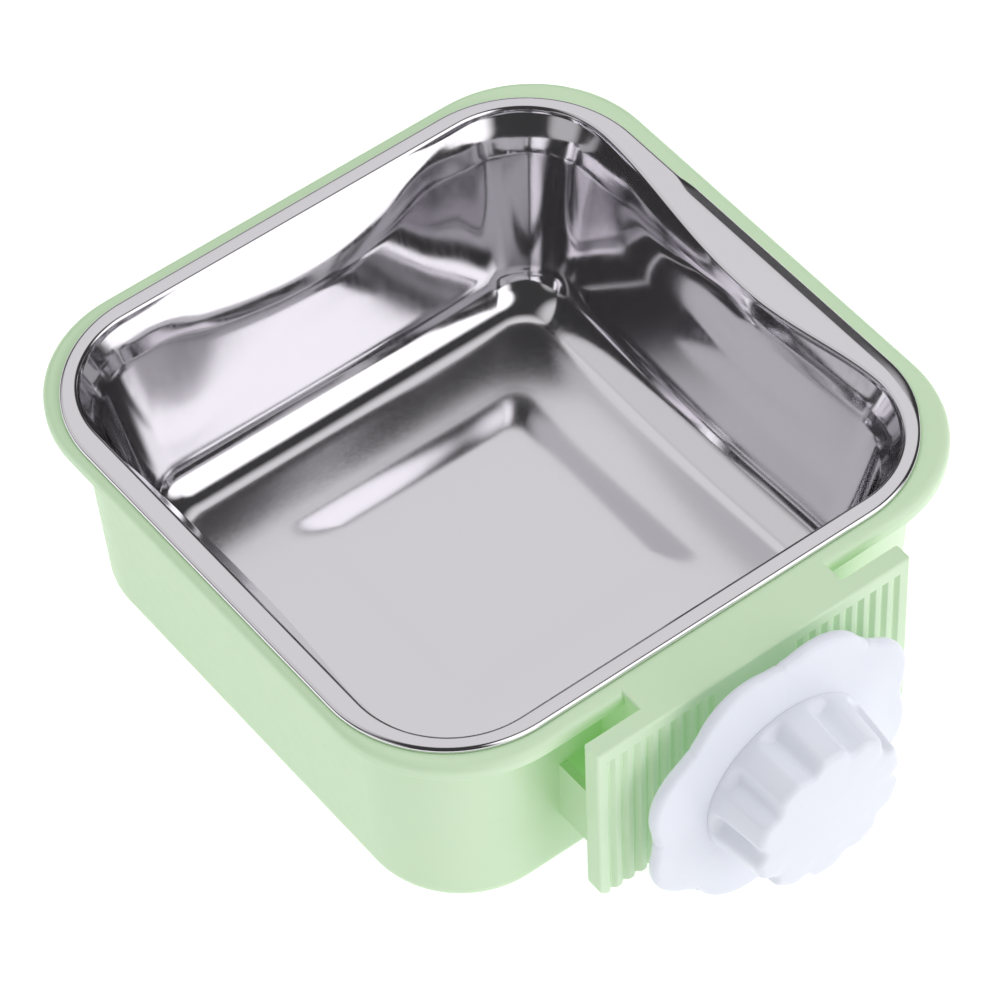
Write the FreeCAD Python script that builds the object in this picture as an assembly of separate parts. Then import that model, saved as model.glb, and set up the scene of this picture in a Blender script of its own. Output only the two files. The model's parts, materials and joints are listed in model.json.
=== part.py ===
import FreeCAD, Part
import math
import os

# Screw-on cage bowl: a moulded square holder with a clamp bracket on its front (-Y) side,
# a drawn steel bowl that lifts out of it, and a knob that draws a wavy disc towards the
# bracket's ribbed plate, so that cage wires are gripped between the two.
# Millimetres, +Z up. Origin: the middle of the holder's base, on the surface it stands on.

# ---- driving dimensions ----------------------------------------------------------------
RIM_HALF_X = 70.0        # half width of the holder's rim, across the clamp's axis
RIM_HALF_Y = 70.4        # and along it
RIM_CORNER = 28.0        # plan radius of the rim's corners
RIM_TOP = 53.3           # height of the rim's top face
RIM_DEPTH = 3.6          # height of the rim's overhanging lip
RIM_ROUND = 1.7          # round of the rim's upper edge
RIM_LOW_ROUND = 0.6      # and of its lower edge
WALL_TOP_HALF = 64.0     # half width of the holder's wall, outside, just under the rim
WALL_BASE_HALF = 61.8    # and at its base
WALL_CORNER = 22.0       # plan radius of the wall's corners just under the rim
BASE_CORNER = 21.0       # and at its base
HOLDER_WALL = 1.7
HOLDER_FLOOR = 2.0
BASE_ROUND = 4.0         # outer radius where the wall turns into the base
INNER_BASE_ROUND = 2.5   # and inner
INNER_TOP_HALF = 62.5    # half width of the tub's inside where the seat begins
INNER_CORNER = 20.5      # plan radius of the inside's corners there
INNER_BASE_CORNER = 19.5
SEAT_HALF = 64.3         # half width of the opening that the steel bowl hangs in
SEAT_CORNER = 22.3
SEAT_START = 0.4         # height above the rim's underside where the opening begins to widen
SEAT_SLOPE = 0.8         # height over which it widens

STEEL = 0.6              # thickness of the drawn sheet
BOWL_OUTER_HALF = 66.9   # half width over the bowl's rolled edge
BOWL_CORNER = 27.7
BOWL_OPEN_X = 62.0       # half width of the bowl's mouth
BOWL_OPEN_Y = 62.9
MOUTH_CORNER = 21.0
BOWL_DEPTH = 43.5
ROLL_DEPTH = 1.2         # how far the rolled edge turns down
ROLL_WIDTH = 1.2         # and how wide it is
ROLL_ROUND = 0.9
LIP_DEPTH = 1.0          # the mouth's edge, where the flange turns down into the wall
LIP_WIDTH = 0.9          # how much wider the mouth is at the flange's face
LIP_LOW = (0.3, 0.3)     # depth and extra width of the lip's middle section
BAND_DEPTH = 5.0         # depth of the short steep band under the mouth
BAND_INWARD = 2.1        # how far in the wall stands there
SEAT_GAP = 0.05          # the bowl's rolled edge above the rim
SIDE_DENT = 4.0          # how far the right side of the mouth is bowed inwards
DENT_Y = -8.5            # where that bow is deepest
BOWL_SHIFT = (-1.5, -0.1)  # the bowl lies loose in its seat, pushed to one side
FOOT_HALF = 31.0         # the floor's raised square, at its foot
PANEL_HALF = 21.0        # and on top
PANEL_RISE = 1.3
FOOT_CORNER = 3.0        # plan radius of the raised square's corners at its foot
PANEL_CORNER = 1.0
FLOOR_ROUND = 10.0       # inside radius between the bowl's wall and its floor
FLOOR_CORNER = 2.0       # smallest plan radius of the bowl's corners
WALL_INWARD = 10.0       # how far in the wall stands where that radius begins
WALL_LEAN = 14.0         # degrees, the wall's lean there
DENT_SHARES = (1.0, 0.85, 0.35, 0.3)   # share of the bow at lip, band, wall foot and floor

AXIS_Z = 27.5            # height of the clamp's axis
PLATE_FRONT = -79.0      # the ribbed plate's front face
PLATE_THICK = 4.0
PLATE_HALF = 37.4
PLATE_BASE = 9.6
PLATE_ROUND = 0.6        # small rounds of the plate's outer edges
PLATE_CORNER = 3.0       # rounds of its two lower corners
BRACKET_HALF = 24.2      # half width of the bridge between rim and plate
BRACKET_WALL = 2.2
BRACKET_LOW = 12.6       # height of the lower end of the bracket's walls
BRIDGE_THICK = 4.0
BRIDGE_ROUND = 0.5
WALL_OVERLAP = 0.3       # how far the bracket's pieces run into the tub's wall
RIB_COUNT = 9            # grooves on each side of the smooth middle
RIB_PITCH = 2.95
RIB_FIRST = 10.5
RIB_DEPTH = 0.9
RIB_HALF = 0.95          # half width of a groove's mouth
RIB_VALLEY = 0.3         # radius at the bottom of a groove
RIB_CREST = 0.4          # and at its two upper edges
RIB_TOP_MARGIN = 3.0
WEB_OUTER = 34.1         # outer face of the low web that ties each wing of the plate to the tub
WEB_THICK = 1.8
WEB_LOW = 17.0
WEB_TOP = 32.6
GUIDE_GAP = 0.15         # clearance on each side of the nut
GUIDE_THICK = 2.4        # the two walls that keep the nut from turning
NUT_GAP = 0.4            # clearance behind the nut
GUIDE_LIP = 2.6          # how far the lips behind the nut reach over it
GUIDE_LIP_THICK = 1.8
STOP_REACH = 0.6         # the small bumps under the nut that keep it from dropping out
STOP_DEPTHS = (2.0, 5.0)   # from the plate's rear face
STOP_HEIGHTS = (-15.5, -12.5)   # from the clamp's axis
ROOF_GAP = 0.3           # clearance above the nut
ROOF_THICK = 2.0
ROOF_OVERLAP = 1.0
PLATE_HOLE_PLAY = 0.5    # clearance of the plate's hole round the screw's neck

THREAD_PITCH = 3.0
THREAD_CORE = 4.6        # screw's core radius
THREAD_CREST = 5.85      # screw's outer radius
THREAD_PLAY = 0.3        # clearance between screw and nut
THREAD_WIDTHS = (2.0, 0.8)   # the screw's ridge along the axis, at its root and crest
THREAD_GROOVE = (2.5, 1.3)   # the nut's groove, the same way
THREAD_OVERLAP = 0.25    # how far a ridge runs into its core
THREAD_TURNS = (-3, 1)   # where the screw's ridge ends, in pitches in front of the plate
NUT_TURNS = (-7, 0)      # where the nut's groove is cut, the same way
SCREW_TIP = -9.8         # the screw's rear end, in front of the plate's face
NECK_RADIUS = 6.0
NECK_FIT = 0.06          # running clearance of the disc on the screw's neck
NUT_FLATS = 19.0
NUT_THICK = 7.5
NUT_FRONT_GAP = 0.15     # between the plate's rear face and the nut
COLLAR_START = 3.0       # the plain collar between the thread and the ring's groove
RING_GROOVE = (0.3, 1.4)   # the groove's two sides, in front of the disc's rear face
RING = (0.35, 1.35)      # the ring's two faces, the same way
RING_RADIUS = 8.6
RING_FIT = 0.02          # the ring on the groove's floor
RING_SPLIT = 2.4         # width of its opening

DISC_GAP = 5.4           # open space between plate and disc as drawn
DISC_THICK = 3.4
DISC_LOBES = 8
DISC_RADIUS = 32.1
DISC_LOBE_RADIUS = 13.0
DISC_NOTCH_RADIUS = 4.0
DISC_EDGE = 1.3
DISC_RECESS = 9.4        # radius of the recess for the ring
DISC_RECESS_DEPTH = 1.5

KNOB_FLUTES = 10
KNOB_HEIGHT = 13.6
KNOB_GAP = 0.1           # between the disc and the knob
KNOB_BASE_RADIUS = 18.8
KNOB_FACE_RADIUS = 17.5
KNOB_COLLAR = 1.6        # unfluted ring next to the disc
FLUTE_RADIUS = 3.6
FLUTE_DEPTH = 3.0
FLUTE_START = 34.0       # degrees, the first flute's angle from +X towards +Z
KNOB_WALL = 2.0
KNOB_FACE_THICK = 2.4
POST_FACE_THICK = 2.0    # the face's thickness in front of the post
POST_WALL = 2.0          # wall of the six-sided post round the screw's head
FACE_ROUND = 1.4
HEAD_FLATS = 17.0
HEAD_THICK = 5.0
HEAD_SEAT = 1.6          # the head's rear face, in front of the disc's front face

HEX_CORNER = 1 / math.cos(math.radians(30))   # a hexagon's corner radius over half its flats
TOUCH = 1e-4             # how exactly an edge must lie in a plane to be picked
OVER = 1.0               # how far cutters run past the faces they open

OUT = "parts"


# ---- helpers ---------------------------------------------------------------------------
def vec(x, y, z):
    return FreeCAD.Vector(x, y, z)


def box(low, high):
    return Part.makeBox(high[0] - low[0], high[1] - low[1], high[2] - low[2], vec(*low))


def rod(radius, outward_from, outward_to):
    """A cylinder on the clamp's axis between two distances in front of the plate's face."""
    base = vec(0, PLATE_FRONT - outward_from, AXIS_Z)
    return Part.makeCylinder(radius, outward_to - outward_from, base, vec(0, -1, 0))


def bowed_side(x, low_y, high_y, dent):
    """The right side of a rounded square, straight or bowed inwards by dent."""
    if dent == 0:
        return Part.LineSegment(vec(x, low_y, 0), vec(x, high_y, 0)).toShape()
    curve = Part.BSplineCurve()
    along = vec(0, 1, 0)
    points = [vec(x, low_y, 0), vec(x - dent, DENT_Y, 0), vec(x, high_y, 0)]
    curve.interpolate(Points=points, InitialTangent=along, FinalTangent=along)
    return curve.toShape()


def rounded_square(half_x, half_y, corner, z, dent=0.0):
    """Closed wire at height z, anticlockwise from the right side's lower end."""
    in_x = half_x - corner
    in_y = half_y - corner
    edges = [bowed_side(half_x, -in_y, in_y, dent)]
    centres = [(in_x, in_y), (-in_x, in_y), (-in_x, -in_y), (in_x, -in_y)]
    for quarter, (cx, cy) in enumerate(centres):
        start = 90.0 * quarter
        circle = Part.Circle(vec(cx, cy, 0), vec(0, 0, 1), corner)
        arc = Part.Arc(circle, math.radians(start), math.radians(start + 90)).toShape()
        edges.append(arc)
        if quarter < 3:
            nx, ny = centres[quarter + 1]
            ahead = math.radians(start + 90)
            reach = vec(corner * math.cos(ahead), corner * math.sin(ahead), 0)
            line = Part.LineSegment(vec(cx, cy, 0) + reach, vec(nx, ny, 0) + reach)
            edges.append(line.toShape())
    wire = Part.Wire(edges)
    wire.translate(vec(0, 0, z))
    return wire


def stack(sections):
    """Solid through rounded squares given as (z, half_x, half_y, corner, dent)."""
    wires = [rounded_square(hx, hy, corner, z, dent) for z, hx, hy, corner, dent in sections]
    return Part.makeLoft(wires, True, True)


def hexagon(flats, outward_from, outward_to):
    """Hexagonal prism on the clamp's axis, with two of its flats upright."""
    reach = flats / 2 * HEX_CORNER
    points = []
    for corner in range(7):
        angle = math.radians(60 * corner + 30)
        x = reach * math.cos(angle)
        z = AXIS_Z + reach * math.sin(angle)
        points.append(vec(x, PLATE_FRONT - outward_from, z))
    face = Part.Face(Part.makePolygon(points))
    return face.extrude(vec(0, outward_from - outward_to, 0))


def edges_at_height(shape, z):
    """Edges that lie whole at one height."""
    found = []
    for edge in shape.Edges:
        bounds = edge.BoundBox
        if abs(bounds.ZMin - z) < TOUCH and abs(bounds.ZMax - z) < TOUCH:
            found.append(edge)
    return found


def edges_at_depth(shape, y):
    """Edges that lie whole in one plane across the clamp's axis."""
    found = []
    for edge in shape.Edges:
        bounds = edge.BoundBox
        if abs(bounds.YMin - y) < TOUCH and abs(bounds.YMax - y) < TOUCH:
            found.append(edge)
    return found


def thread(core, crest, widths, turns):
    """Right-hand helical ridge on the clamp's axis, between two whole numbers of pitches in
    front of the plate, so that threads made here are in mesh with each other."""
    root_width, crest_width = widths
    inner_turn, outer_turn = turns
    helix = Part.makeHelix(THREAD_PITCH, (outer_turn - inner_turn) * THREAD_PITCH, core)
    root = core - THREAD_OVERLAP
    profile = Part.makePolygon([
        vec(root, 0, -root_width / 2),
        vec(crest, 0, -crest_width / 2),
        vec(crest, 0, crest_width / 2),
        vec(root, 0, root_width / 2),
        vec(root, 0, -root_width / 2)])
    ridge = Part.Wire(helix).makePipeShell([profile], True, True)
    # the helix climbs +Z; turning it about X by -90 degrees lays it along +Y, still right-hand
    ridge.rotate(vec(0, 0, 0), vec(1, 0, 0), -90)
    ridge.translate(vec(0, PLATE_FRONT - outer_turn * THREAD_PITCH, AXIS_Z))
    return ridge


def export(shape, node):
    if not shape.isValid():
        raise ValueError(node + " is not valid")
    for solid in shape.Solids:
        if not solid.isClosed():
            raise ValueError(node + " is not closed")
    shape.exportStep(os.path.join(OUT, node + ".step"))
    print("%-16s %d solid(s) %9.0f mm3" % (node, len(shape.Solids), shape.Volume))


# ---- holder ----------------------------------------------------------------------------
def holder_tub():
    """Square tub with a tapering wall, an overhanging rim and a seat for the steel bowl."""
    under_rim = RIM_TOP - RIM_DEPTH
    outside = stack([
        (0, WALL_BASE_HALF, WALL_BASE_HALF, BASE_CORNER, 0),
        (under_rim, WALL_TOP_HALF, WALL_TOP_HALF, WALL_CORNER, 0)])
    outside = outside.makeFillet(BASE_ROUND, edges_at_height(outside, 0))
    rim = Part.Face(rounded_square(RIM_HALF_X, RIM_HALF_Y, RIM_CORNER, under_rim))
    rim = rim.extrude(vec(0, 0, RIM_DEPTH))
    rim = rim.makeFillet(RIM_ROUND, edges_at_height(rim, RIM_TOP))
    rim = rim.makeFillet(RIM_LOW_ROUND, edges_at_height(rim, under_rim))
    floor_half = WALL_BASE_HALF - HOLDER_WALL
    ledge = under_rim + SEAT_START
    inside = stack([
        (HOLDER_FLOOR, floor_half, floor_half, INNER_BASE_CORNER, 0),
        (ledge, INNER_TOP_HALF, INNER_TOP_HALF, INNER_CORNER, 0)])
    inside = inside.makeFillet(INNER_BASE_ROUND, edges_at_height(inside, HOLDER_FLOOR))
    seat = stack([
        (ledge, INNER_TOP_HALF, INNER_TOP_HALF, INNER_CORNER, 0),
        (ledge + SEAT_SLOPE, SEAT_HALF, SEAT_HALF, SEAT_CORNER, 0),
        (RIM_TOP + OVER, SEAT_HALF, SEAT_HALF, SEAT_CORNER, 0)])
    return outside.fuse(rim), inside.fuse(seat)


def groove(x):
    """Cutter for one upright groove in the plate's face: straight flanks, round valley."""
    flank = math.hypot(RIB_HALF, RIB_DEPTH)
    slope = math.atan2(RIB_HALF, RIB_DEPTH)
    across = RIB_HALF / flank
    inward = RIB_DEPTH / flank
    bottom = PLATE_FRONT + RIB_DEPTH
    back_off = RIB_VALLEY / math.tan(slope)
    mouth = RIB_HALF + OVER * across / inward
    left = vec(x - mouth, PLATE_FRONT - OVER, 0)
    right = vec(x + mouth, PLATE_FRONT - OVER, 0)
    low_left = vec(x - across * back_off, bottom - inward * back_off, 0)
    low_right = vec(x + across * back_off, bottom - inward * back_off, 0)
    lowest = vec(x, bottom - RIB_VALLEY / math.sin(slope) + RIB_VALLEY, 0)
    outline = Part.Wire([
        Part.LineSegment(left, low_left).toShape(),
        Part.Arc(low_left, lowest, low_right).toShape(),
        Part.LineSegment(low_right, right).toShape(),
        Part.LineSegment(right, left).toShape()])
    return Part.Face(outline).extrude(vec(0, 0, RIM_TOP - RIB_TOP_MARGIN))


def ribbed_plate():
    """Upright plate with rounded edges and two groups of upright grooves in its face."""
    rear = PLATE_FRONT + PLATE_THICK
    plate = box((-PLATE_HALF, PLATE_FRONT, PLATE_BASE), (PLATE_HALF, rear, RIM_TOP))
    low_corners = []
    for edge in edges_at_height(plate, PLATE_BASE):
        if edge.BoundBox.YLength > PLATE_THICK / 2:
            low_corners.append(edge)
    plate = plate.makeFillet(PLATE_CORNER, low_corners)
    outer = edges_at_depth(plate, PLATE_FRONT)
    for edge in edges_at_depth(plate, rear):
        if edge.BoundBox.ZMin < AXIS_Z:
            outer.append(edge)
    plate = plate.makeFillet(PLATE_ROUND, outer)
    for side in (-1, 1):
        for index in range(RIB_COUNT):
            plate = plate.cut(groove(side * (RIB_FIRST + index * RIB_PITCH)))
    crests = []
    for edge in edges_at_depth(plate, PLATE_FRONT):
        if edge.BoundBox.XLength < TOUCH and abs(edge.BoundBox.XMin) < PLATE_HALF - PLATE_ROUND - TOUCH:
            crests.append(edge)
    return plate.makeFillet(RIB_CREST, crests)


def side_box(side, near, far, y_range, z_range):
    """Upright wall between two distances from the middle plane, on one side of it."""
    low_x = min(side * near, side * far)
    high_x = max(side * near, side * far)
    return box((low_x, y_range[0], z_range[0]), (high_x, y_range[1], z_range[1]))


def bracket():
    """Bridge level with the rim; behind the plate its side walls, the guides, lips and stops
    of the nut's channel, and a low web under each wing."""
    rear = PLATE_FRONT + PLATE_THICK
    into_wall = -WALL_BASE_HALF - WALL_OVERLAP
    under_rim = RIM_TOP - RIM_DEPTH
    solid = box((-BRACKET_HALF, rear - OVER, RIM_TOP - BRIDGE_THICK),
                (BRACKET_HALF, into_wall, RIM_TOP))
    ends = []
    for edge in edges_at_height(solid, RIM_TOP):
        if edge.BoundBox.XLength < TOUCH:
            ends.append(edge)
    solid = solid.makeFillet(BRIDGE_ROUND, ends)
    near = NUT_FLATS / 2 + GUIDE_GAP
    far = near + GUIDE_THICK
    nut_rear = rear + NUT_THICK + NUT_GAP
    stop_low = AXIS_Z + STOP_HEIGHTS[0]
    stop_high = AXIS_Z + STOP_HEIGHTS[1]
    for side in (-1, 1):
        pieces = [
            side_box(side, BRACKET_HALF - BRACKET_WALL, BRACKET_HALF,
                     (rear, into_wall), (BRACKET_LOW, under_rim)),
            side_box(side, near, far, (rear, into_wall), (BRACKET_LOW, under_rim)),
            side_box(side, near - GUIDE_LIP, far,
                     (nut_rear, nut_rear + GUIDE_LIP_THICK), (BRACKET_LOW, under_rim)),
            side_box(side, near - STOP_REACH, near,
                     (rear + STOP_DEPTHS[0], rear + STOP_DEPTHS[1]), (stop_low, stop_high)),
            side_box(side, WEB_OUTER - WEB_THICK, WEB_OUTER, (rear, into_wall), (WEB_LOW, WEB_TOP))]
        for piece in pieces:
            solid = solid.fuse(piece)
    roof_z = AXIS_Z + NUT_FLATS / 2 * HEX_CORNER + ROOF_GAP
    roof = box((-near - ROOF_OVERLAP, rear, roof_z), (near + ROOF_OVERLAP, into_wall, roof_z + ROOF_THICK))
    return solid.fuse(roof)


def holder():
    outside, inside = holder_tub()
    body = outside.fuse(bracket()).cut(inside)
    body = body.fuse(ribbed_plate())
    hole = rod(NECK_RADIUS + PLATE_HOLE_PLAY, -PLATE_THICK - OVER / 2, OVER)
    body = body.cut(hole).removeSplitter()
    return body


# ---- steel bowl ------------------------------------------------------------------------
def bowl_sections(grow, drop):
    """Sections of the bowl's inside, from the mouth down. grow widens them and drop
    lowers the floor by the sheet's thickness, which gives the outside."""
    lean = math.radians(WALL_LEAN)
    rows = [
        (-LIP_DEPTH, 0.0, DENT_SHARES[0]),
        (-BAND_DEPTH, BAND_INWARD, DENT_SHARES[1]),
        (FLOOR_ROUND * (1 - math.sin(lean)) - BOWL_DEPTH, WALL_INWARD, DENT_SHARES[2])]
    steps = 4
    for step in range(1, steps + 1):
        angle = lean + (math.pi / 2 - lean) * step / steps
        z = FLOOR_ROUND * (1 - math.sin(angle)) - BOWL_DEPTH
        inward = WALL_INWARD + FLOOR_ROUND * (math.cos(lean) - math.cos(angle))
        rows.append((z, inward, DENT_SHARES[3]))
    sections = []
    for z, inward, dent_share in rows:
        corner = max(MOUTH_CORNER - inward, FLOOR_CORNER) + grow
        share = (z + LIP_DEPTH) / (LIP_DEPTH - BOWL_DEPTH)
        sections.append((z - drop * share, BOWL_OPEN_X - inward + grow,
                         BOWL_OPEN_Y - inward + grow, corner, SIDE_DENT * dent_share))
    return sections


def steel_bowl():
    """Drawn bowl: flat flange, rolled edge, short upright band, tapering wall, raised panel."""
    flange = Part.Face(rounded_square(BOWL_OUTER_HALF, BOWL_OUTER_HALF, BOWL_CORNER, -ROLL_DEPTH))
    flange = flange.extrude(vec(0, 0, ROLL_DEPTH))
    flange = flange.makeFillet(ROLL_ROUND, edges_at_height(flange, 0))
    under = BOWL_OUTER_HALF - ROLL_WIDTH
    hollow = Part.Face(rounded_square(under, under, BOWL_CORNER - ROLL_WIDTH, -ROLL_DEPTH - OVER))
    flange = flange.cut(hollow.extrude(vec(0, 0, ROLL_DEPTH + OVER - STEEL)))
    outer = bowl_sections(STEEL, STEEL)
    outer.insert(0, (-STEEL,) + outer[0][1:])
    inner = bowl_sections(0.0, 0.0)
    _, mouth_x, mouth_y, mouth_corner, dent = inner[0]
    lip = []
    for depth, wider in ((-0.1, LIP_WIDTH), (0.0, LIP_WIDTH), LIP_LOW):
        lip.append((-depth, mouth_x + wider, mouth_y + wider, mouth_corner + wider, dent))
    panel = stack([
        (-BOWL_DEPTH, FOOT_HALF, FOOT_HALF, FOOT_CORNER, 0),
        (PANEL_RISE - BOWL_DEPTH, PANEL_HALF, PANEL_HALF, PANEL_CORNER, 0)])
    press = panel.copy()
    press.translate(vec(0, 0, -STEEL))
    bowl = flange.fuse(stack(outer)).cut(stack(lip + inner)).cut(press)
    bowl = bowl.fuse(panel.cut(press)).removeSplitter()
    bowl.translate(vec(BOWL_SHIFT[0], BOWL_SHIFT[1], RIM_TOP + ROLL_DEPTH + SEAT_GAP))
    return bowl


# ---- clamp -----------------------------------------------------------------------------
def captive_nut():
    """Moulded hexagonal nut that slides up the channel behind the plate."""
    front = -PLATE_THICK - NUT_FRONT_GAP
    rear = front - NUT_THICK
    core = THREAD_CORE + THREAD_PLAY
    threaded = thread(core, THREAD_CREST + THREAD_PLAY, THREAD_GROOVE, NUT_TURNS)
    bore = rod(core, rear - OVER, front + OVER)
    return hexagon(NUT_FLATS, rear, front).cut(threaded).cut(bore)


def clamp_screw():
    """Coarse plastic screw: hexagonal head in the knob, plain neck, ring groove, thread."""
    disc_front = DISC_GAP + DISC_THICK
    head_seat = disc_front + HEAD_SEAT
    core = rod(THREAD_CORE, SCREW_TIP, disc_front)
    neck = rod(NECK_RADIUS, DISC_GAP + RING_GROOVE[1], head_seat)
    collar = rod(NECK_RADIUS, COLLAR_START, DISC_GAP + RING_GROOVE[0])
    head = hexagon(HEAD_FLATS, head_seat, head_seat + HEAD_THICK)
    ridge = thread(THREAD_CORE, THREAD_CREST, THREAD_WIDTHS, THREAD_TURNS)
    solid = core.fuse(ridge).fuse(neck).fuse(collar).fuse(head)
    return solid.removeSplitter()


def retaining_ring():
    """Split snap ring in the screw's groove; it keeps the disc on the screw."""
    low = DISC_GAP + RING[0]
    high = DISC_GAP + RING[1]
    ring = rod(RING_RADIUS, low, high)
    ring = ring.cut(rod(THREAD_CORE + RING_FIT, low - OVER, high + OVER))
    split = box((-RING_SPLIT / 2, PLATE_FRONT - high - OVER, AXIS_Z - RING_RADIUS - OVER),
                (RING_SPLIT / 2, PLATE_FRONT - low + OVER, AXIS_Z))
    return ring.cut(split)


def lobed_outline(y):
    """Outline of the disc: round lobes joined by small hollow arcs."""
    centre_r = DISC_RADIUS - DISC_LOBE_RADIUS
    half = math.pi / DISC_LOBES
    reach = DISC_LOBE_RADIUS + DISC_NOTCH_RADIUS
    across = centre_r * math.cos(half)
    notch_r = across + math.sqrt(across ** 2 - centre_r ** 2 + reach ** 2)
    edges = []

    def point(radius, angle):
        return vec(radius * math.cos(angle), y, AXIS_Z + radius * math.sin(angle))

    for lobe in range(DISC_LOBES):
        middle = (2 * lobe + 1) * half
        centre = point(centre_r, middle)
        ends = []
        for side in (-1, 1):
            notch = point(notch_r, middle + side * half)
            ends.append(centre + (notch - centre) * (DISC_LOBE_RADIUS / reach))
        edges.append(Part.Arc(ends[0], point(DISC_RADIUS, middle), ends[1]).toShape())
        notch = point(notch_r, middle + half)
        nearest = point(notch_r - DISC_NOTCH_RADIUS, middle + half)
        next_centre = point(centre_r, middle + 2 * half)
        landing = next_centre + (notch - next_centre) * (DISC_LOBE_RADIUS / reach)
        edges.append(Part.Arc(ends[1], nearest, landing).toShape())
    return Part.Wire(Part.__sortEdges__(edges))


def pressure_disc():
    """Wavy disc that slides on the screw's neck and bears on the cage wires."""
    rear = PLATE_FRONT - DISC_GAP
    front = rear - DISC_THICK
    disc = Part.Face(lobed_outline(rear)).extrude(vec(0, -DISC_THICK, 0))
    disc = disc.makeFillet(DISC_EDGE, edges_at_depth(disc, front) + edges_at_depth(disc, rear))
    ring_recess = rod(DISC_RECESS, DISC_GAP - OVER, DISC_GAP + DISC_RECESS_DEPTH)
    bore = rod(NECK_RADIUS + NECK_FIT, DISC_GAP - OVER, DISC_GAP + DISC_THICK + OVER)
    return disc.cut(ring_recess).cut(bore)


def clamp_knob():
    """Fluted knob, closed in front and cored from behind, with a socket for the head."""
    start = DISC_GAP + DISC_THICK + KNOB_GAP
    end = start + KNOB_HEIGHT
    base = vec(0, PLATE_FRONT - start, AXIS_Z)
    body = Part.makeCone(KNOB_BASE_RADIUS, KNOB_FACE_RADIUS, KNOB_HEIGHT, base, vec(0, -1, 0))
    for flute in range(KNOB_FLUTES):
        angle = math.radians(FLUTE_START + 360.0 * flute / KNOB_FLUTES)
        distance = KNOB_FACE_RADIUS + FLUTE_RADIUS - FLUTE_DEPTH
        x = distance * math.cos(angle)
        z = AXIS_Z + distance * math.sin(angle)
        foot = vec(x, PLATE_FRONT - start - KNOB_COLLAR, z)
        body = body.cut(Part.makeCylinder(FLUTE_RADIUS, KNOB_HEIGHT, foot, vec(0, -1, 0)))
    body = body.makeFillet(FACE_ROUND, edges_at_depth(body, PLATE_FRONT - end))
    hollow = rod(KNOB_FACE_RADIUS - FLUTE_DEPTH - KNOB_WALL, start - OVER, end - KNOB_FACE_THICK)
    post = hexagon(HEAD_FLATS + 2 * POST_WALL, start, end - POST_FACE_THICK)
    body = body.cut(hollow.cut(post))
    head_rear = DISC_GAP + DISC_THICK + HEAD_SEAT
    socket = hexagon(HEAD_FLATS, start - OVER, head_rear + HEAD_THICK)
    return body.cut(socket).removeSplitter()


# ---- build -----------------------------------------------------------------------------
os.makedirs(OUT, exist_ok=True)
export(holder(), "holder")
export(captive_nut(), "captive_nut")
export(steel_bowl(), "steel_bowl")
export(pressure_disc(), "pressure_disc")
export(clamp_screw(), "clamp_screw")
export(retaining_ring(), "retaining_ring")
export(clamp_knob(), "clamp_knob")
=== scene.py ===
import json
import math

import bmesh
import bpy
from mathutils import Matrix, Vector


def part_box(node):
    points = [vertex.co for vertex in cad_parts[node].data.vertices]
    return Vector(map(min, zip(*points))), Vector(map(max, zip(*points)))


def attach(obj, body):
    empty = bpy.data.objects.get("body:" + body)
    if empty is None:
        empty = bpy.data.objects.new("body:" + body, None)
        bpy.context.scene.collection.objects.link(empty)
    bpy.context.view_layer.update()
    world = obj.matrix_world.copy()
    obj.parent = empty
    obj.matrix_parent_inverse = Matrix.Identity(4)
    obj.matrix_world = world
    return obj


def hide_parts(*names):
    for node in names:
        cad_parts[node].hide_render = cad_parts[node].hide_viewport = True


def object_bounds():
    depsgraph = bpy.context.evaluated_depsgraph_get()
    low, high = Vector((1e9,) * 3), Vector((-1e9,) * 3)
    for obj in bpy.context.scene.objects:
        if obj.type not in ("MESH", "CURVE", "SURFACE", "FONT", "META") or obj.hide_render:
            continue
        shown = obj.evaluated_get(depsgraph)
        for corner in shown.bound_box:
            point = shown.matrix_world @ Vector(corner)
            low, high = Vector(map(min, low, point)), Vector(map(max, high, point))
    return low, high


# A screw-on cage bowl: a pale green moulded holder, a drawn steel bowl lying loose in it, and a
# white knob and wavy disc on the clamp. The scene is in metres, in the CAD frame: +Z up, clamp
# towards -Y. Shapes are drawn in millimetres and scaled by MM.

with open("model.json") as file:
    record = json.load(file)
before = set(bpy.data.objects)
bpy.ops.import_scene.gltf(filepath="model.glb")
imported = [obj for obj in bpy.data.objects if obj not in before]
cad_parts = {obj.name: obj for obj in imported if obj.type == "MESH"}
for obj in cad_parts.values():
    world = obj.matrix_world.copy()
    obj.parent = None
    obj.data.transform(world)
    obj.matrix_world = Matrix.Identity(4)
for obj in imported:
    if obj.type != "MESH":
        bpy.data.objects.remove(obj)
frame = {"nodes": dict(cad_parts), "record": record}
cad_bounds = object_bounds()

MM = 0.001

# ---- camera, as angles about the holder --------------------------------------------------------
CAMERA_TARGET = Vector((-8.41, -12.46, 43.0)) * MM
CAMERA_AZIMUTH = math.radians(-35.89)
CAMERA_ELEVATION = math.radians(50.04)
CAMERA_ROLL = math.radians(-2.49)
CAMERA_DISTANCE = 991.3 * MM
SENSOR = 36.0             # millimetres
FOCAL_LENGTH = 186.3
CLIP_START = 0.05         # metres
CLIP_END = 50.0

# ---- studio ------------------------------------------------------------------------------------
FLOOR_HALF = 6.0          # metres
FLOOR_GAP = 0.3 * MM      # between the part's lowest point and the floor
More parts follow.
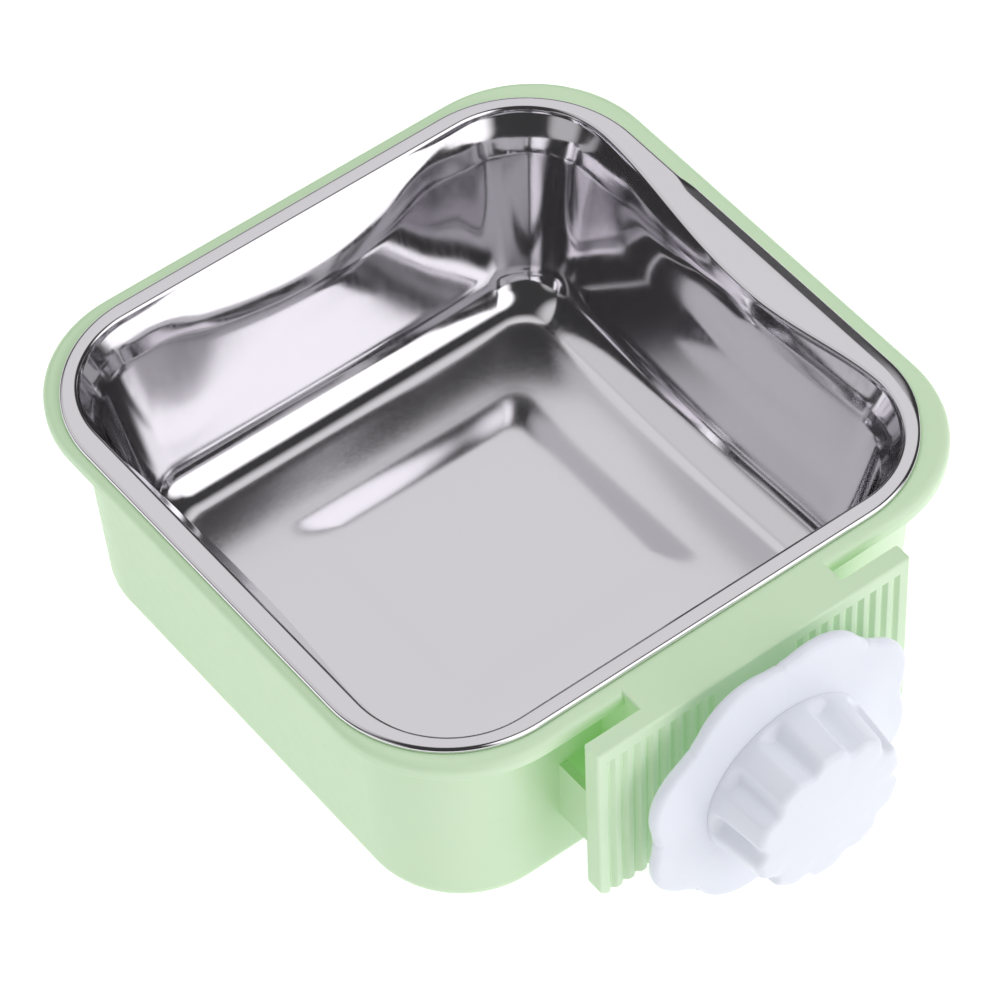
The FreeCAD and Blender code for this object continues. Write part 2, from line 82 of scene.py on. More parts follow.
# Lamps as (name, direction from the camera's target, distance, size, power).
LAMPS = [
    ("key_left", (-0.52, 0.1, 0.85), 1.6, (0.6, 0.6), 4.2),
    ("front", (0.35, -0.83, 0.42), 1.6, (1.4, 1.0), 5.6),
    ("top", (0.0, 0.2, 1.0), 1.6, (1.4, 1.4), 4.6),
    ("fill_camera", (-0.38, -0.52, 0.77), 1.8, (1.2, 1.2), 0.6),
    ("fill_right", (0.85, -0.30, 0.45), 1.6, (1.2, 1.2), 2.4),
]
# Soft bright panels that the steel mirrors, as (azimuth and elevation of the middle, radius, soft
# edge, brightness), in degrees; azimuth 0 is +X and 90 is +Y.
SKY_DARK = 0.05
SKY_TINT = (1.0, 0.992, 1.0, 1.0)
SKY_PANELS = [
    (-66, 20, 31, 14, 1.50),
    (-72, 42, 21.5, 10, 1.68),
    (54, 56, 24, 18, 0.85),
    (125, 42, 30, 20, 0.75),
    (-172, 12, 14, 12, 0.55),
]

# ---- steel bowl, in millimetres ----------------------------------------------------------------
RIGHT = 0                 # the sides are counted anticlockwise: right, rear, left, front
FRONT = 3
SIDE_STEPS = 56
CORNER_STEPS = 28
STEEL = 0.6
OUTER_HALF = 66.9
OUTER_CORNER = 27.7
ROLL_DEPTH = 1.15
ROLL_RADIUS = 0.85
ROLL_START = -8.0         # degrees below level where the rolled edge's arc begins
ROLL_STEPS = 9
FLANGE_STEPS = 5
MOUTH_X = 62.0
MOUTH_Y = 62.9
MOUTH_CORNER = 21.0
MOUTH_RADIUS = 0.9
MOUTH_STEPS = 6
# The wall's inside at a corner as (depth, inward): a short steep band that ends in a crease.
CORNER_WALL = [(0.9, 0.0), (5.0, 2.25), (8.6, 3.7)]
CREASE_EASE = 0.6
CORNER_TIGHTENS = 0.85    # how much the wall's corner radius shrinks for each mm inwards
# Along each side the wall flares in from the mouth, deepest near its middle, and then drops more
# steeply. The lists hold one value for each side.
FLARE_DEPTHS = [6.0, 12.0, 12.0, 12.0]
FLARE_LEAST = 2.0         # least depth of a flare
FLARE_STARTS = [0.35, 0.0, 0.0, 0.0]     # share of the side's length where the flare begins
FLARE_GROWTH = [0.42, 0.20, 0.15, 0.15]  # and over which it grows, at both ends
FLARE_SLOPE = 0.60
FLARE_FULLNESS = [0.0, 0.55, 0.0, 0.0]   # how much sooner a side's flare is deep at its far end
FLARE_EASE = 3.0          # height over which the flare turns into the steeper wall
EASE_SAMPLES = 9
DEPTH = 43.5
WALL_STEPS = 50
WALL_LEAN = math.radians(14.0)
WALL_FOOT_INWARD = 10.0   # how far in the wall stands where it turns into the floor
FLOOR_RADIUS = 10.0
FLOOR_CORNER = 5.0
WALL_FOOT = DEPTH - FLOOR_RADIUS * (1 - math.sin(WALL_LEAN))
FLOOR_INWARD = WALL_FOOT_INWARD + FLOOR_RADIUS * math.cos(WALL_LEAN)
FOOT_STEPS = 14
FLOOR_STEPS = 8
PANEL_FOOT = 31.0
PANEL_TOP = 21.0
PANEL_RISE = 1.15
PANEL_CORNER = 5.0
PANEL_TOP_CORNER = PANEL_CORNER / 2
PANEL_STEPS = 12
TOP_STEPS = 8
CENTRE_HALF = 0.4         # the small square that closes the middle of the floor
CENTRE_ROUND = 0.8        # and its corner radius, as a share of its half width
SIDE_DENT = 4.7           # the mouth's right side is bowed inwards
DENT_MIDDLE = -8.0
DENT_REACH_BACK = 50.0
DENT_REACH_FRONT = 35.0
DENT_FULLNESS = 0.85      # under 1 makes the bow's middle broader
DENT_DEPTH = 20.0         # depth at which the bow has faded
DENT_LEFT = 0.15          # to this share of its size
DROOP_WIDTH = 1.85        # how far in from its edge the right flange is bent down
DROOP_OUT = 0.5           # and how much further out that edge stands
DROOP_FALL = 0.52
DROOP_FOOT = 0.3          # share of the roll that lies below the bend
DROOP_TURN = 2 / 7        # and where the bent strip begins to run inwards
DROOP_BACK = 25.0         # where the bend ends, measured along the edge from its middle
DROOP_FRONT = -58.0
DROOP_RUN_OUT = 6.0       # length over which it starts at the back
DROOP_FADE = 28.0         # and over which it flattens out round the front corner

# ---- clamp, in millimetres ---------------------------------------------------------------------
TURN_STEPS = 360
TURN_ANGLES = [2 * math.pi * step / TURN_STEPS for step in range(TURN_STEPS)]
DISC_LOBES = 8
DISC_RADIUS = 32.1
DISC_LOBE_RADIUS = 13.0
DISC_NOTCH_FILL = 1.1     # how much the hollow between two lobes is filled in
DISC_NOTCH_WIDTH = 0.07   # and over what angle
DISC_SWELL = 0.6          # the front stands this much higher inside than at the edge
DISC_SWELL_REACH = 0.45   # and reaches that height at this share of the way in
DISC_BORE = 6.06
DISC_RECESS = 9.4
DISC_RECESS_DEPTH = 1.5
DISC_REAR_SHARES = (0.35, 0.7)   # rings of the flat rear, as shares of the way out
DISC_EDGE_STEPS = 14
DISC_FRONT_STEPS = 15
KNOB_FLUTES = 10
KNOB_FIRST_FLUTE = math.radians(34.0)
KNOB_BASE_RADIUS = 18.8
KNOB_FACE_RADIUS = 17.5
KNOB_FACE_ROUND = 1.7
KNOB_FACE_TURN = 84.0     # degrees that this round turns before the face's dome goes on
KNOB_FOOT_ROUND = 0.15
KNOB_DOME = 0.35
KNOB_CORE = 10.3          # radius of the hollow behind
KNOB_CORE_DEPTH = 8.5
KNOB_FOOT_STEPS = 4
KNOB_SIDE_STEPS = 30
KNOB_FACE_STEPS = 10
KNOB_DOME_STEPS = 14
HOLLOW_MIDDLE = 0.4       # radius of the small cap in the middle of the hollow
FACE_MIDDLE = 0.3         # and of the one in the middle of the face
FLUTE_DEPTH = 2.5
FLUTE_HALF_ANGLE = math.radians(12.0)
FLUTE_FOOT = 0.4
FLUTE_RUN_OUT = 2.2
FLUTE_MIDDLE = 7.0
FLUTE_LIFT = 0.35         # how much shallower the flutes are at the face
FLUTE_FADE = 3.5          # width of the face over which they fade in from the core's radius

# ---- materials ---------------------------------------------------------------------------------
NOISE_SPAN = (0.3, 0.7)       # where nearly all values of a noise texture lie
FLAT_SPAN = (0.975, 0.995)    # upright part of the normal on faces that count as level
PLASTIC_IOR = 1.49
# Each glow is painted light: a constant emission that lifts the plastic's shadows and makes them a more
# saturated colour.
GREEN = {"light": (197, 203, 191), "deep": (194, 201, 188), "roughness": 0.36,
         "glow": (0.035, 0.15, 0.014, 1.0)}
WHITE = {"light": (184, 187, 195), "deep": (181, 184, 193), "roughness": 0.34,
         "glow": (0.23, 0.238, 0.257, 1.0)}


# ---- small helpers -----------------------------------------------------------------------------
def smooth(t):
    t = min(max(t, 0.0), 1.0)
    return t * t * (3.0 - 2.0 * t)


def mix(a, b, t):
    return a + (b - a) * t


def arc_steps(start, end, steps):
    """Angles in radians from start to end, given in degrees, both included."""
    return [math.radians(mix(start, end, i / steps)) for i in range(steps + 1)]


def linear(red, green, blue):
    """An 8-bit display colour as linear RGBA."""
    values = []
    for channel in (red, green, blue):
        c = channel / 255.0
        values.append(c / 12.92 if c <= 0.04045 else ((c + 0.055) / 1.055) ** 2.4)
    return (*values, 1.0)


def join_rings(bm, rings, closed):
    """Faces between each ring and the next, and from the last back to the first if closed."""
    pairs = list(zip(rings, rings[1:]))
    if closed:
        pairs.append((rings[-1], rings[0]))
    count = len(rings[0])
    for one, other in pairs:
        for i in range(count):
            j = (i + 1) % count
            bm.faces.new((one[i], one[j], other[j], other[i]))


def mesh_object(name, bm, material):
    mesh = bpy.data.meshes.new(name)
    bm.to_mesh(mesh)
    bm.free()
    for polygon in mesh.polygons:
        polygon.use_smooth = True
    obj = bpy.data.objects.new(name, mesh)
    bpy.context.scene.collection.objects.link(obj)
    obj.data.materials.append(material)
    return obj


# ---- material functions ------------------------------------------------------------------------
class Nodes:
    """Short names for building one material's node tree."""

    def __init__(self, name):
        self.material = bpy.data.materials.new(name)
        self.material.use_nodes = True
        self.tree = self.material.node_tree
        self.shader = self.tree.nodes["Principled BSDF"]

    def add(self, kind, inputs=None, **settings):
        node = self.tree.nodes.new(kind)
        for key, value in settings.items():
            setattr(node, key, value)
        for key, value in (inputs or {}).items():
            if isinstance(value, bpy.types.NodeSocket):
                self.tree.links.new(value, node.inputs[key])
            else:
                node.inputs[key].default_value = value
        return node

    def link(self, output, name):
        self.tree.links.new(output, self.shader.inputs[name])

    def set(self, name, value):
        self.shader.inputs[name].default_value = value

    def place(self, scale=(1, 1, 1)):
        """The piece's own coordinates in metres, stretched by scale."""
        coordinates = self.add("ShaderNodeTexCoord")
        mapping = self.add("ShaderNodeMapping", {"Vector": coordinates.outputs["Object"], "Scale": scale})
        return mapping.outputs["Vector"]

    def noise(self, where, scale, detail=3.0, roughness=0.5):
        node = self.add("ShaderNodeTexNoise", {"Vector": where, "Scale": scale, "Detail": detail,
                                               "Roughness": roughness})
        return node.outputs["Fac"]

    def range(self, value, low, high, span=NOISE_SPAN):
        node = self.add("ShaderNodeMapRange", {"Value": value, "From Min": span[0], "From Max": span[1],
                                               "To Min": low, "To Max": high})
        return node.outputs["Result"]

    def bump(self, height, strength, distance, normal=None):
        inputs = {"Height": height, "Strength": strength, "Distance": distance}
        if normal is not None:
            inputs["Normal"] = normal
        return self.add("ShaderNodeBump", inputs).outputs["Normal"]


def moulded_plastic(name, light, deep, roughness, glow):
    """Satin injection-moulded plastic: faint flow clouds, mottled gloss and a fine mould grain.
    glow is painted light: a constant emission over the whole part that lifts its shadows, standing in for
    the light that the slightly translucent material passes on."""
    n = Nodes(name)
    where = n.place()
    clouds = n.range(n.noise(where, scale=38.0, detail=2.0, roughness=0.45), 0.0, 1.0)
    tint = n.add("ShaderNodeMix", {"Factor": clouds, "A": linear(*deep), "B": linear(*light)},
                 data_type="RGBA")
    n.link(tint.outputs["Result"], "Base Color")
    gloss = n.noise(where, scale=420.0, detail=4.0, roughness=0.6)
    n.link(n.range(gloss, roughness - 0.05, roughness + 0.06), "Roughness")
    waves = n.bump(n.noise(where, scale=90.0, detail=2.0), strength=0.10, distance=0.4 * MM)
    fine = n.noise(where, scale=2600.0, detail=3.0, roughness=0.6)
    n.link(n.bump(fine, strength=0.10, distance=0.04 * MM, normal=waves), "Normal")
    # Painted light: a constant glow over the whole surface that lifts its shadows.
    n.set("Emission Color", glow)
    n.set("Emission Strength", 1.0)
    n.set("IOR", PLASTIC_IOR)
    n.set("Specular IOR Level", 0.5)
    return n.material


def drawn_steel():
    """Polished stainless sheet: mirror walls, a satin floor and rim, faint upright drawing marks."""
    n = Nodes("drawn_steel")
    n.set("Metallic", 1.0)
    n.set("Base Color", linear(223, 221, 225))
    where = n.place()
    normal = n.add("ShaderNodeNewGeometry").outputs["True Normal"]
    split = n.add("ShaderNodeSeparateXYZ", {"Vector": normal})
    level = n.range(split.outputs["Z"], 0.0, 1.0, span=FLAT_SPAN)
    walls = n.range(n.noise(n.place((1, 1, 0.15)), scale=900.0, roughness=0.6), 0.08, 0.13)
    floor = n.range(n.noise(where, scale=1500.0, roughness=0.6), 0.15, 0.19)
    rough = n.add("ShaderNodeMix", {"Factor": level, "A": walls, "B": floor})
    n.link(rough.outputs["Result"], "Roughness")
    dents = n.bump(n.noise(where, scale=30.0, detail=0.0), strength=0.10, distance=0.6 * MM)
    marks = n.noise(n.place((1, 1, 0.06)), scale=200.0, detail=1.0)
    n.link(n.bump(marks, strength=0.05, distance=0.2 * MM, normal=dents), "Normal")
    return n.material


def spring_steel():
    n = Nodes("spring_steel")
    n.set("Metallic", 1.0)
    n.set("Base Color", linear(190, 190, 192))
    n.link(n.range(n.noise(n.place(), scale=700.0), 0.28, 0.42), "Roughness")
    return n.material


def studio_floor():
    n = Nodes("studio_floor")
    n.set("Base Color", (0.60, 0.60, 0.60, 1.0))
    n.link(n.range(n.noise(n.place(), scale=6.0), 0.85, 0.95), "Roughness")
    n.set("Specular IOR Level", 0.1)
    n.set("Emission Color", (1.0, 1.0, 1.0, 1.0))
    n.set("Emission Strength", 0.76)
    return n.material


# ---- steel bowl: rings and their shapes --------------------------------------------------------
def ring_points(half_x, half_y, corner, z, shape=None):
    """Points round a rounded square, anticlockwise from the lower end of its right side. shape
    says how far in and up a point moves, from its side, its share of the side's length (1 to 2 on
    the corner after it) and its y."""
    in_x = half_x - corner
    in_y = half_y - corner
    corners = [(in_x, in_y), (-in_x, in_y), (-in_x, -in_y), (in_x, -in_y)]
    points = []
    for side in range(4):
        start = corners[side - 1]
        end = corners[side]
        outward = math.radians(90.0 * side)
        for step in range(SIDE_STEPS):
            t = step / SIDE_STEPS
            x = mix(start[0], end[0], t)
            y = mix(start[1], end[1], t)
            inward, up = shape(side, t, y) if shape else (0.0, 0.0)
            reach = corner - inward
            points.append((x + reach * math.cos(outward), y + reach * math.sin(outward), z + up))
        for step in range(CORNER_STEPS):
            t = step / CORNER_STEPS
            angle = outward + math.pi / 2 * t
            inward, up = shape(side, 1.0 + t, end[1]) if shape else (0.0, 0.0)
            reach = corner - inward
            points.append((end[0] + reach * math.cos(angle), end[1] + reach * math.sin(angle), z + up))
    return points


def dent_share(y):
    """How much of the side's inward bow is reached at this distance along the side."""
    reach = DENT_REACH_BACK if y > DENT_MIDDLE else DENT_REACH_FRONT
    t = min(abs(y - DENT_MIDDLE) / reach, 1.0)
    return (0.5 + 0.5 * math.cos(math.pi * t)) ** DENT_FULLNESS


def dented(dent):
    """Shape of a ring whose right side is bowed in."""
    def shape(side, t, y):
        return (dent * dent_share(y) if side == RIGHT else 0.0), 0.0
    return shape


def drooped(inward, up):
    """Shape of a ring whose right side is bent down, fading out round the front right corner."""
    def shape(side, t, y):
        if side == RIGHT and t < 1.0:
            along_edge = y
        elif side == FRONT and t >= 1.0:
            along_edge = OUTER_CORNER - OUTER_HALF - (2.0 - t) * OUTER_CORNER * math.pi / 2
        else:
            return 0.0, 0.0
        start = smooth((DROOP_BACK - along_edge) / DROOP_RUN_OUT)
        from_front = along_edge - DROOP_FRONT
        inward_share = start * smooth(2 * from_front / DROOP_FADE)
        up_share = start * smooth(from_front / DROOP_FADE)
        return inward * inward_share, up * up_share
    return shape


def read_along(points, depth, ease):
    """Inward distance at a depth, read along a list of (depth, inward) with eased corners."""
    total = 0.0
    for i in range(EASE_SAMPLES):
        d = depth + ease * (2 * i / (EASE_SAMPLES - 1) - 1)
        if d <= points[0][0]:
            total += points[0][1]
            continue
        for (d0, in0), (d1, in1) in zip(points, points[1:]):
            if d <= d1 or d1 == points[-1][0]:
                total += in0 + (in1 - in0) * (d - d0) / (d1 - d0)
                break
    return total / EASE_SAMPLES


def corner_inward(depth):
    return read_along(CORNER_WALL + [(WALL_FOOT, WALL_FOOT_INWARD)], depth, CREASE_EASE)


def flare(side, t, depth, inward):
    """How much further in than at a corner the wall stands, at a share t of a side's length."""
    t = (t - FLARE_STARTS[side]) / (1.0 - FLARE_STARTS[side])
    share = smooth(min(t, 1.0 - t) / FLARE_GROWTH[side])
    if share == 0.0:
        return 0.0
    reach = FLARE_DEPTHS[side] * math.sin(math.pi * t) ** (1.0 - FLARE_FULLNESS[side] * t)
    reach = max(reach, FLARE_LEAST)
    lean = math.atan(FLARE_SLOPE)
    start = (MOUTH_RADIUS * (1 - math.sin(lean)), -MOUTH_RADIUS * (1 - math.cos(lean)))
    wall = [start, (start[0] + reach, start[1] + reach * FLARE_SLOPE), (WALL_FOOT, WALL_FOOT_INWARD)]
    ease = FLARE_EASE * min(1.0, depth / FLARE_EASE / 2)
    return (read_along(wall, depth, ease) - inward) * share


def walled(depth, inward, dent, flares):
    """Shape of one of the wall's rings: bowed in on the right and, if it flares, along each side."""
    bow = dented(dent)

    def shape(side, t, y):
        flared = flare(side, t, depth, inward) if flares else 0.0
        return bow(side, t, y)[0] + flared, 0.0
    return shape


def flanged(droop_in, dent):
    """Shape of one of the flange's rings, between the bent edge and the bowed mouth."""
    edge = drooped(droop_in, 0.0)
    bow = dented(dent)

    def shape(side, t, y):
        return edge(side, t, y)[0] + bow(side, t, y)[0], 0.0
    return shape


def wall_corner(inward):
    return max(MOUTH_CORNER - inward * CORNER_TIGHTENS, FLOOR_CORNER)


# ---- steel bowl: its upper face, from the rolled edge in to the middle of the floor ------------
def rim_rings():
    """From the foot of the rolled edge up and over to the flat flange."""
    rings = []
    for i, angle in enumerate(arc_steps(ROLL_START, 90, ROLL_STEPS)):
        inward = ROLL_RADIUS * (1 - math.cos(angle)) if i else 0.0
        up = ROLL_RADIUS * (math.sin(angle) - 1) if i else -ROLL_DEPTH
        t = i / ROLL_STEPS
        over = smooth((t - DROOP_TURN) / (1 - DROOP_TURN))
        droop_in = mix(-DROOP_OUT, DROOP_WIDTH, over)
        if t < DROOP_FOOT:
            droop_up = mix(-ROLL_DEPTH, -DROOP_FALL, t / DROOP_FOOT)
        else:
            droop_up = -DROOP_FALL * (1 - over)
        half = OUTER_HALF - inward
        rings.append(ring_points(half, half, OUTER_CORNER - inward, up,
                                 drooped(droop_in - inward, droop_up - up)))
    return rings


def flange_rings():
    """Across the flat flange, from the rolled edge to the mouth's round."""
    rings = []
    outer = OUTER_HALF - ROLL_RADIUS
    outer_corner = OUTER_CORNER - ROLL_RADIUS
    for step in range(1, FLANGE_STEPS):
        t = step / FLANGE_STEPS
        shape = flanged((DROOP_WIDTH - ROLL_RADIUS) * (1 - t), SIDE_DENT * t)
        rings.append(ring_points(
            mix(outer, MOUTH_X + MOUTH_RADIUS, t), mix(outer, MOUTH_Y + MOUTH_RADIUS, t),
            mix(outer_corner, MOUTH_CORNER + MOUTH_RADIUS, t), 0.0, shape))
    return rings


def wall_rows():
    """Rows of the wall from the mouth's round to the floor: depth, inward at a corner, share of
    the dent, and whether the sides flare."""
    rows = []
    for angle in arc_steps(90, 0, MOUTH_STEPS):
        depth = MOUTH_RADIUS * (1 - math.sin(angle))
        inward = -MOUTH_RADIUS * (1 - math.cos(angle))
        rows.append((depth, inward, 1.0, angle < math.atan(FLARE_SLOPE)))
    for step in range(1, WALL_STEPS + 1):
        depth = mix(MOUTH_RADIUS, WALL_FOOT, step / WALL_STEPS)
        share = mix(1.0, DENT_LEFT, smooth(depth / DENT_DEPTH))
        rows.append((depth, corner_inward(depth), share, True))
    for angle in arc_steps(math.degrees(WALL_LEAN), 90, FOOT_STEPS)[1:]:
        depth = DEPTH - FLOOR_RADIUS * (1 - math.sin(angle))
        inward = WALL_FOOT_INWARD + FLOOR_RADIUS * (math.cos(WALL_LEAN) - math.cos(angle))
        rows.append((depth, inward, DENT_LEFT, False))
    return rows


def wall_rings():
    """Down the wall and round into the floor."""
    rings = []
    for depth, inward, share, flares in wall_rows():
        rings.append(ring_points(MOUTH_X - inward, MOUTH_Y - inward, wall_corner(inward), -depth,
                                 walled(depth, inward, SIDE_DENT * share, flares)))
    return rings


def floor_rings():
    """In across the floor, up the raised panel's slope and over its top."""
    rings = []
    for step in range(1, FLOOR_STEPS + 1):
        t = step / FLOOR_STEPS
        rings.append(ring_points(
            mix(MOUTH_X - FLOOR_INWARD, PANEL_FOOT, t), mix(MOUTH_Y - FLOOR_INWARD, PANEL_FOOT, t),
            mix(wall_corner(FLOOR_INWARD), PANEL_CORNER, t), -DEPTH,
            dented(SIDE_DENT * DENT_LEFT * (1 - t))))
    for step in range(1, PANEL_STEPS + 1):
        t = step / PANEL_STEPS
        half = mix(PANEL_FOOT, PANEL_TOP, t)
        corner = mix(PANEL_CORNER, PANEL_TOP_CORNER, t)
        rings.append(ring_points(half, half, corner, PANEL_RISE * smooth(t) - DEPTH))
    for step in range(1, TOP_STEPS + 1):
        half = mix(PANEL_TOP, CENTRE_HALF, step / TOP_STEPS)
        corner = min(PANEL_TOP_CORNER, half * CENTRE_ROUND)
        rings.append(ring_points(half, half, corner, PANEL_RISE - DEPTH))
    return rings


def steel_bowl(material):
    """The bowl as one closed sheet: the upper face, and the same face moved by the thickness."""
    bm = bmesh.new()
    rings = []
    for ring in rim_rings() + flange_rings() + wall_rings() + floor_rings():
        rings.append([bm.verts.new(Vector(point) * MM) for point in ring])
    join_rings(bm, rings, False)
    bm.faces.new(rings[-1])
    bmesh.ops.recalc_face_normals(bm, faces=bm.faces)
    middle_face = max(bm.faces, key=lambda face: len(face.verts))
    if middle_face.normal.z < 0:
        bmesh.ops.reverse_faces(bm, faces=bm.faces)
    obj = mesh_object("steel_bowl_drawn", bm, material)
    sheet = obj.modifiers.new("sheet", "SOLIDIFY")
    sheet.thickness = STEEL * MM
    sheet.offset = -1.0
    sheet.use_even_offset = True
    low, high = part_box("steel_bowl")
    obj.location = ((low.x + high.x) / 2, (low.y + high.y) / 2, high.z)
    return obj


# ---- clamp -------------------------------------------------------------------------------------
def turned_ring(bm, centre, y, radii):
    """Ring of vertices round the clamp's axis, at a place y, with one radius for each angle."""
    ring = []
    for angle, radius in zip(TURN_ANGLES, radii):
        x = centre.x + radius * MM * math.cos(angle)
        z = centre.z + radius * MM * math.sin(angle)
        ring.append(bm.verts.new((x, y, z)))
    return ring


def disc_outline(angle):
    """Radius of the disc's outline: round lobes joined by small hollows."""
    pitch = 2 * math.pi / DISC_LOBES
    off = abs((angle % pitch) - pitch / 2)
    centre = DISC_RADIUS - DISC_LOBE_RADIUS
    lobe = centre * math.cos(off) + math.sqrt(DISC_LOBE_RADIUS ** 2 - (centre * math.sin(off)) ** 2)
    gap = pitch / 2 - off
    return lobe + DISC_NOTCH_FILL * math.exp(-(gap / DISC_NOTCH_WIDTH) ** 2)


def disc_profile(thick):
    """The disc's section, from the front of its bore round the rear and the edge and back in, as
    (share of the outline, radius added to it, depth behind the front)."""
    edge = (thick - DISC_SWELL) / 2
    seat = thick - DISC_RECESS_DEPTH
    profile = [(0.0, DISC_BORE, 0.0), (0.0, DISC_BORE, seat), (0.0, DISC_RECESS, seat),
               (0.0, DISC_RECESS, thick)]
    for t in DISC_REAR_SHARES:
        profile.append((t, DISC_RECESS * (1 - t) - edge * t, thick))
    for angle in arc_steps(-90, 90, DISC_EDGE_STEPS):
        profile.append((1.0, edge * (math.cos(angle) - 1), thick - edge - edge * math.sin(angle)))
    for step in range(1, DISC_FRONT_STEPS):
        t = step / DISC_FRONT_STEPS
        depth = DISC_SWELL * (1 - smooth(t / DISC_SWELL_REACH))
        profile.append((1.0 - t, DISC_BORE * t - edge * (1 - t), depth))
    return profile


def pressure_disc(material):
    """Wavy disc: full round edge, a front that swells gently inside each lobe, a bored middle."""
    low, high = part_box("pressure_disc")
    centre = (low + high) / 2
    bm = bmesh.new()
    rings = []
    for share, added, depth in disc_profile((high.y - low.y) / MM):
        radii = [share * disc_outline(angle) + added for angle in TURN_ANGLES]
        rings.append(turned_ring(bm, centre, low.y + depth * MM, radii))
    join_rings(bm, rings, True)
    bmesh.ops.recalc_face_normals(bm, faces=bm.faces)
    return mesh_object("pressure_disc_moulded", bm, material)


def fluted(angle, plain, up, height):
    """The knob's radius at an angle and a height above its foot, where it would be plain."""
    pitch = 2 * math.pi / KNOB_FLUTES
    off = (angle - KNOB_FIRST_FLUTE + pitch / 2) % pitch - pitch / 2
    hollow = 0.5 + 0.5 * math.cos(math.pi * min(abs(off) / FLUTE_HALF_ANGLE, 1.0))
    run_out = smooth((up - FLUTE_FOOT) / FLUTE_RUN_OUT)
    run_up = 1.0 - FLUTE_LIFT * smooth((up - FLUTE_MIDDLE) / (height - FLUTE_MIDDLE))
    fade = smooth((plain - KNOB_CORE) / FLUTE_FADE)
    return mix(plain, plain - FLUTE_DEPTH * hollow * run_out * run_up, fade)


def knob_profile(height):
    """The knob's section as (radius, height above its foot), from the middle of the hollow behind
    it, round its side, to the middle of its face."""
    profile = [(HOLLOW_MIDDLE, KNOB_CORE_DEPTH), (KNOB_CORE / 2, KNOB_CORE_DEPTH),
               (KNOB_CORE, KNOB_CORE_DEPTH), (KNOB_CORE, 0.0)]
    for angle in arc_steps(-90, 0, KNOB_FOOT_STEPS):
        profile.append((KNOB_BASE_RADIUS + KNOB_FOOT_ROUND * (math.cos(angle) - 1),
                        KNOB_FOOT_ROUND * (1 + math.sin(angle))))
    shoulder = height - KNOB_FACE_ROUND - KNOB_DOME
    for step in range(1, KNOB_SIDE_STEPS):
        t = step / KNOB_SIDE_STEPS
        profile.append((mix(KNOB_BASE_RADIUS, KNOB_FACE_RADIUS, t), mix(KNOB_FOOT_ROUND, shoulder, t)))
    for angle in arc_steps(0, KNOB_FACE_TURN, KNOB_FACE_STEPS):
        profile.append((KNOB_FACE_RADIUS + KNOB_FACE_ROUND * (math.cos(angle) - 1),
                        shoulder + KNOB_FACE_ROUND * math.sin(angle)))
    rim_radius, rim_up = profile[-1]
    for step in range(1, KNOB_DOME_STEPS):
        t = step / KNOB_DOME_STEPS
        profile.append((mix(rim_radius, FACE_MIDDLE, t), mix(rim_up, height, 1 - (1 - t) ** 2)))
    return profile


def clamp_knob(material, centre):
    """Fluted knob: ten round-bottomed flutes that run out near its foot, a softly domed face."""
    low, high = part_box("clamp_knob")
    height = (high.y - low.y) / MM
    bm = bmesh.new()
    rings = []
    for plain, up in knob_profile(height):
        radii = [fluted(angle, plain, up, height) for angle in TURN_ANGLES]
        rings.append(turned_ring(bm, centre, high.y - up * MM, radii))
    join_rings(bm, rings, False)
    bm.faces.new(rings[0])
    bm.faces.new(rings[-1])
    bmesh.ops.recalc_face_normals(bm, faces=bm.faces)
    return mesh_object("clamp_knob_moulded", bm, material)


# ---- stage -------------------------------------------------------------------------------------
def make_floor(material):
    bm = bmesh.new()
    bmesh.ops.create_grid(bm, x_segments=2, y_segments=2, size=FLOOR_HALF)
    floor = mesh_object("floor", bm, material)
    floor.location.z = cad_bounds[0][2] - FLOOR_GAP


def make_lamp(name, direction, distance, size, power):
    """Soft rectangular lamp that the steel doesn't mirror."""
    data = bpy.data.lights.new(name, "AREA")
    data.shape = "RECTANGLE"
    data.size, data.size_y = size
    data.energy = power
    obj = bpy.data.objects.new(name, data)
    bpy.context.scene.collection.objects.link(obj)
    towards = Vector(direction).normalized()
    obj.location = CAMERA_TARGET + towards * distance
    obj.rotation_euler = towards.to_track_quat("Z", "Y").to_euler()
    obj.visible_glossy = False


def make_panel(tree, direction, azimuth, elevation, radius, edge, brightness):
    """Brightness of one soft round panel of the sky, seen in a direction."""
    middle = tree.nodes.new("ShaderNodeVectorMath")
    middle.operation = "DOT_PRODUCT"
    flat = math.cos(elevation)
    middle.inputs[1].default_value = (math.cos(azimuth) * flat, math.sin(azimuth) * flat,
                                      math.sin(elevation))
    tree.links.new(direction, middle.inputs[0])
    glow = tree.nodes.new("ShaderNodeMapRange")
    glow.interpolation_type = "SMOOTHSTEP"
    glow.inputs["From Min"].default_value = math.cos(radius + edge / 2)
    glow.inputs["From Max"].default_value = math.cos(radius - edge / 2)
    glow.inputs["To Max"].default_value = brightness
    tree.links.new(middle.outputs["Value"], glow.inputs["Value"])
    return glow.outputs["Result"]


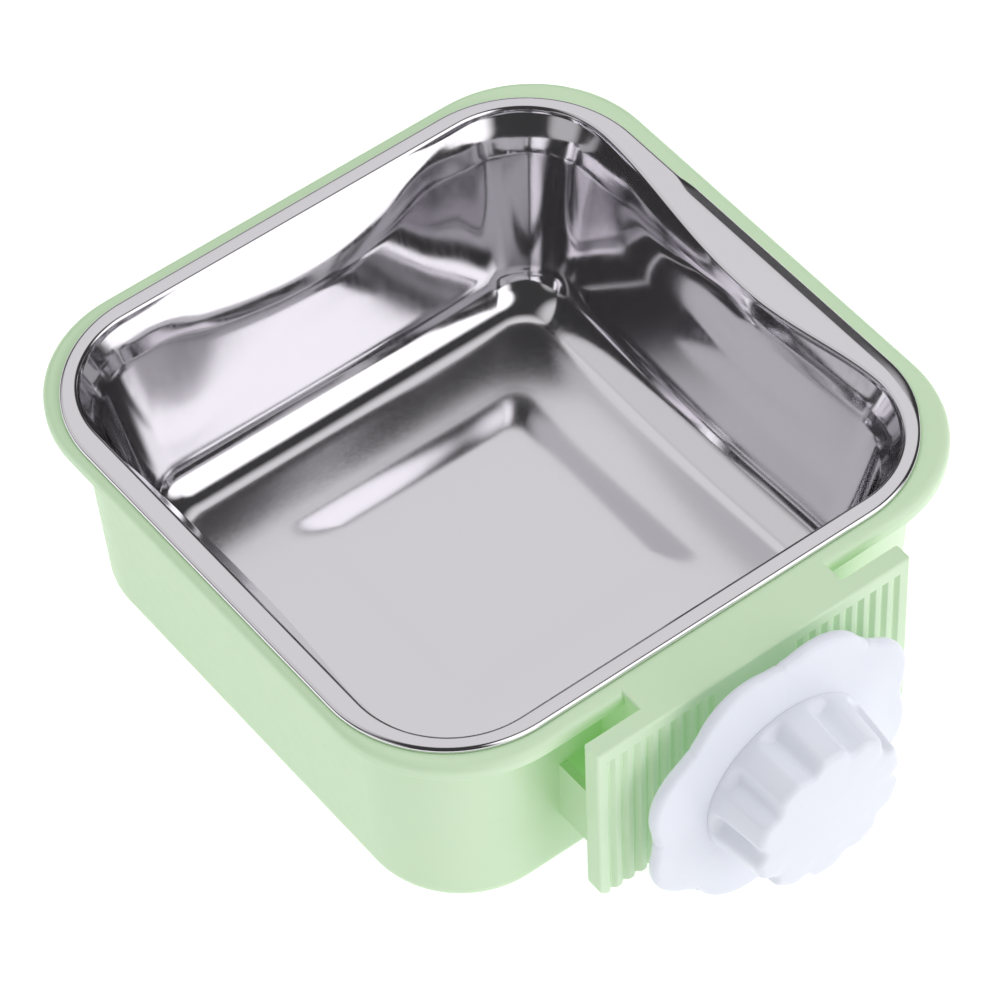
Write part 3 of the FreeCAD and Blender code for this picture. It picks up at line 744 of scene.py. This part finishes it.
def make_world():
    """Dark room with soft bright panels: the steel mirrors them, the plastics are lit by them."""
    world = bpy.data.worlds.new("studio")
    bpy.context.scene.world = world
    world.use_nodes = True
    tree = world.node_tree
    direction = tree.nodes.new("ShaderNodeTexCoord").outputs["Generated"]
    brightest = None
    for *angles, brightness in SKY_PANELS:
        panel = make_panel(tree, direction, *map(math.radians, angles), brightness)
        larger = tree.nodes.new("ShaderNodeMath")
        larger.operation = "MAXIMUM"
        larger.inputs[1].default_value = SKY_DARK
        if brightest is not None:
            tree.links.new(brightest, larger.inputs[1])
        tree.links.new(panel, larger.inputs[0])
        brightest = larger.outputs["Value"]
    background = tree.nodes["Background"]
    tree.links.new(brightest, background.inputs["Strength"])
    background.inputs["Color"].default_value = SKY_TINT


def make_camera():
    data = bpy.data.cameras.new("camera")
    data.sensor_width = SENSOR
    data.lens = FOCAL_LENGTH
    data.clip_start = CLIP_START
    data.clip_end = CLIP_END
    camera = bpy.data.objects.new("camera", data)
    bpy.context.scene.collection.objects.link(camera)
    flat = math.cos(CAMERA_ELEVATION)
    away = Vector((math.sin(CAMERA_AZIMUTH) * flat, -math.cos(CAMERA_AZIMUTH) * flat,
                   math.sin(CAMERA_ELEVATION)))
    right = Vector((0, 0, 1)).cross(away).normalized()
    up = away.cross(right)
    turned_right = right * math.cos(CAMERA_ROLL) + up * math.sin(CAMERA_ROLL)
    turned_up = up * math.cos(CAMERA_ROLL) - right * math.sin(CAMERA_ROLL)
    axes = Matrix((turned_right, turned_up, away)).transposed()
    camera.matrix_world = Matrix.Translation(CAMERA_TARGET + away * CAMERA_DISTANCE) @ axes.to_4x4()
    bpy.context.scene.camera = camera


# ---- build -------------------------------------------------------------------------------------
make_camera()
make_world()
bpy.context.scene.view_settings.view_transform = "Standard"
for lamp in LAMPS:
    make_lamp(*lamp)
make_floor(studio_floor())

green = moulded_plastic("green_plastic", **GREEN)
white = moulded_plastic("white_plastic", **WHITE)
steel = drawn_steel()
finishes = {"green_plastic": green, "white_plastic": white, "stainless": steel,
            "spring_steel": spring_steel()}
for subpart in frame["record"]["subparts"]:
    node = frame["nodes"][subpart["node"]]
    node.data.materials.clear()
    node.data.materials.append(finishes[subpart["material_slot"]])

bowl = steel_bowl(steel)
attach(bowl, "bowl")
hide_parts("steel_bowl")

disc = pressure_disc(white)
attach(disc, "disc")
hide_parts("pressure_disc")

disc_low, disc_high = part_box("pressure_disc")
knob = clamp_knob(white, (disc_low + disc_high) / 2)
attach(knob, "knob")
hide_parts("clamp_knob")
